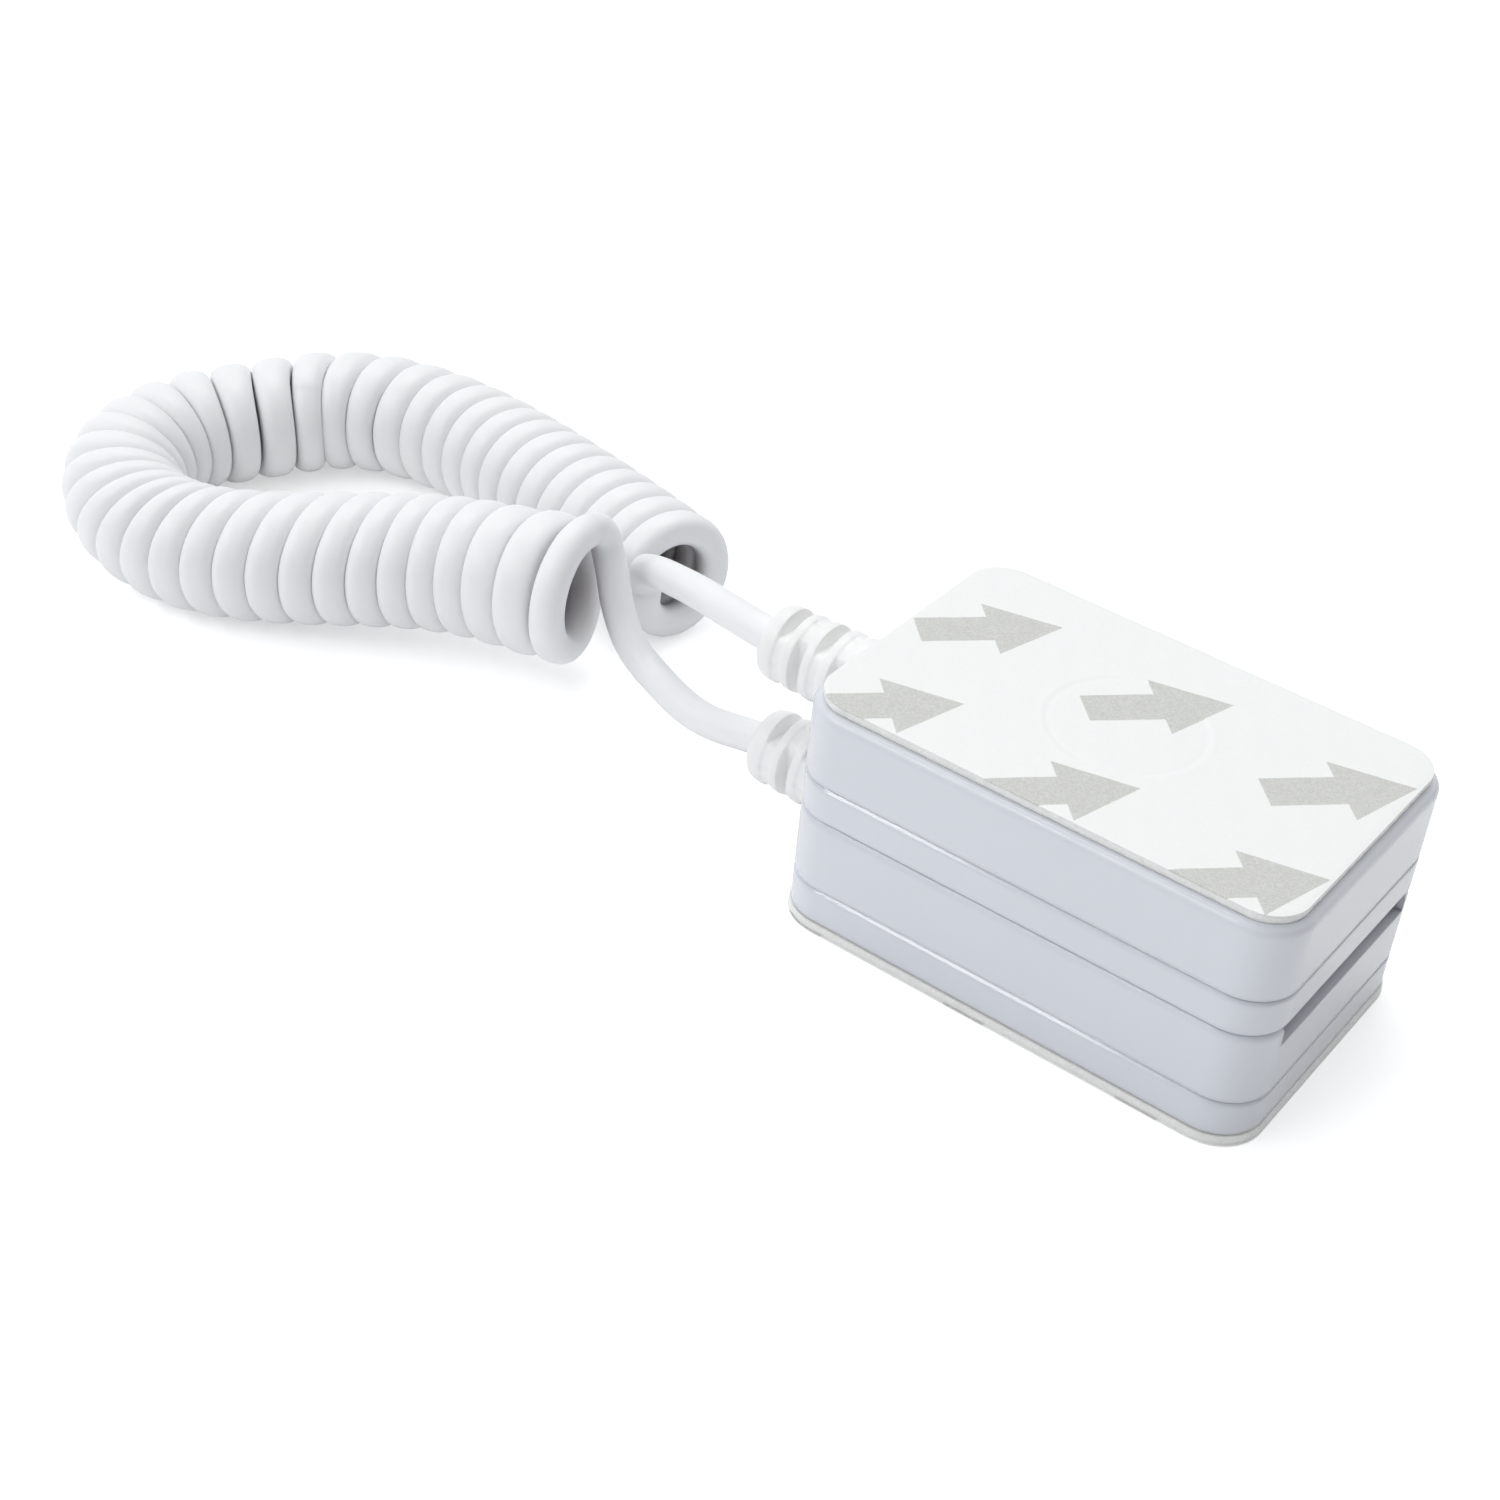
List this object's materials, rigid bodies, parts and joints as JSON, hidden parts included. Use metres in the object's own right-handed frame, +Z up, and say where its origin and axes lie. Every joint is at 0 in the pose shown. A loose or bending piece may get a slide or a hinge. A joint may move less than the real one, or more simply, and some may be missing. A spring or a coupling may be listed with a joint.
{
  "type": "window restrictor cable",
  "caption": "Coiled restrictor tether: a jacketed steel cord wound in a coil joins two magnet-docking adhesive blocks.",
  "frame": {"origin": "centre of the lower block's adhesive face", "axes": "+Z up through both docked blocks, +X along the blocks towards the finger slot, -X towards the cord"},
  "size_m": [0.1381, 0.0464, 0.0228],
  "materials": {
    "shell_plastic": "moulded ABS, glossy, cool white",
    "foam": "translucent grey acrylic foam tape, fine sparkle",
    "liner": "coated release paper, white with a pale grey printed pattern",
    "cord_jacket": "soft white PVC, satin",
    "boot": "soft white PVC, satin",
    "magnet": "nickel-plated magnet",
    "steel": "zinc-plated mild steel",
    "wire_rope": "stranded stainless rope",
    "clamp_plastic": "moulded nylon"
  },
  "bodies": {
    "lower_block": {"lower_base_plate": "shell_plastic", "lower_shell": "shell_plastic", "lower_foam_pad": "foam", "lower_magnet": "magnet", "lower_keeper_plate": "steel", "lower_crimp_ferrule": "steel", "lower_cord_clamp": "clamp_plastic", "lower_clamp_screws": "steel", "lower_strain_relief": "boot", "cord_jacket_lower_end": "cord_jacket", "wire_rope_lower_end": "wire_rope"},
    "lower_liner": {"lower_release_liner": "liner"},
    "lower_cord": {"cord_jacket_lower_tail": "cord_jacket", "wire_rope_lower_tail": "wire_rope"},
    "front_coil": {"cord_jacket_front_coil": "cord_jacket", "wire_rope_front_coil": "wire_rope"},
    "rear_coil": {"cord_jacket_rear_coil": "cord_jacket", "wire_rope_rear_coil": "wire_rope"},
    "upper_cord": {"cord_jacket_upper_tail": "cord_jacket", "wire_rope_upper_tail": "wire_rope"},
    "upper_block": {"upper_base_plate": "shell_plastic", "upper_shell": "shell_plastic", "upper_foam_pad": "foam", "upper_magnet": "magnet", "upper_keeper_plate": "steel", "upper_crimp_ferrule": "steel", "upper_cord_clamp": "clamp_plastic", "upper_clamp_screws": "steel", "upper_strain_relief": "boot", "cord_jacket_upper_end": "cord_jacket", "wire_rope_upper_end": "wire_rope"},
    "upper_liner": {"upper_release_liner": "liner"}
  },
  "joints": [
    {"name": "lower_boot_flex", "type": "hinge", "parent": "lower_block", "child": "lower_cord", "pos_m": [-0.0275, -0.0026, 0.0061], "axis": [0, 0, 1], "range_deg": [-20, 20], "deforming": ["cord_jacket_lower_tail", "wire_rope_lower_tail", "lower_strain_relief", "cord_jacket_lower_end", "wire_rope_lower_end"]},
    {"name": "front_coil_stretch", "type": "slide", "parent": "lower_cord", "child": "front_coil", "axis": [-0.9848, -0.1736, 0], "range_m": [0, 0.06], "deforming": ["cord_jacket_front_coil", "wire_rope_front_coil"]},
    {"name": "loop_flex", "type": "hinge", "parent": "front_coil", "child": "rear_coil", "pos_m": [-0.1094, -0.0027, 0.0061], "axis": [0, -1, 0], "range_deg": [0, 90], "deforming": ["cord_jacket_rear_coil", "wire_rope_rear_coil"]},
    {"name": "rear_coil_stretch", "type": "slide", "parent": "rear_coil", "child": "upper_cord", "axis": [0.9848, 0.1736, 0], "range_m": [0, 0.06], "deforming": ["cord_jacket_upper_tail", "wire_rope_upper_tail"]},
    {"name": "upper_boot_flex", "type": "hinge", "parent": "upper_cord", "child": "upper_block", "pos_m": [-0.0275, -0.0026, 0.0172], "axis": [0, 0, 1], "range_deg": [-20, 20], "deforming": ["upper_strain_relief", "cord_jacket_upper_end", "wire_rope_upper_end"]},
    {"name": "upper_liner_peel", "type": "hinge", "parent": "upper_block", "child": "upper_liner", "pos_m": [-0.02175, 0, 0.0228], "axis": [0, -1, 0], "range_deg": [0, 110]},
    {"name": "lower_liner_peel", "type": "hinge", "parent": "lower_block", "child": "lower_liner", "pos_m": [-0.0227, 0, 0], "axis": [0, 1, 0], "range_deg": [0, 110]}
  ],
  "couplings": [
    {"joint": "rear_coil_stretch", "follows": "front_coil_stretch", "ratio": 1},
    {"joint": "upper_boot_flex", "follows": "lower_boot_flex", "ratio": -1}
  ]
}
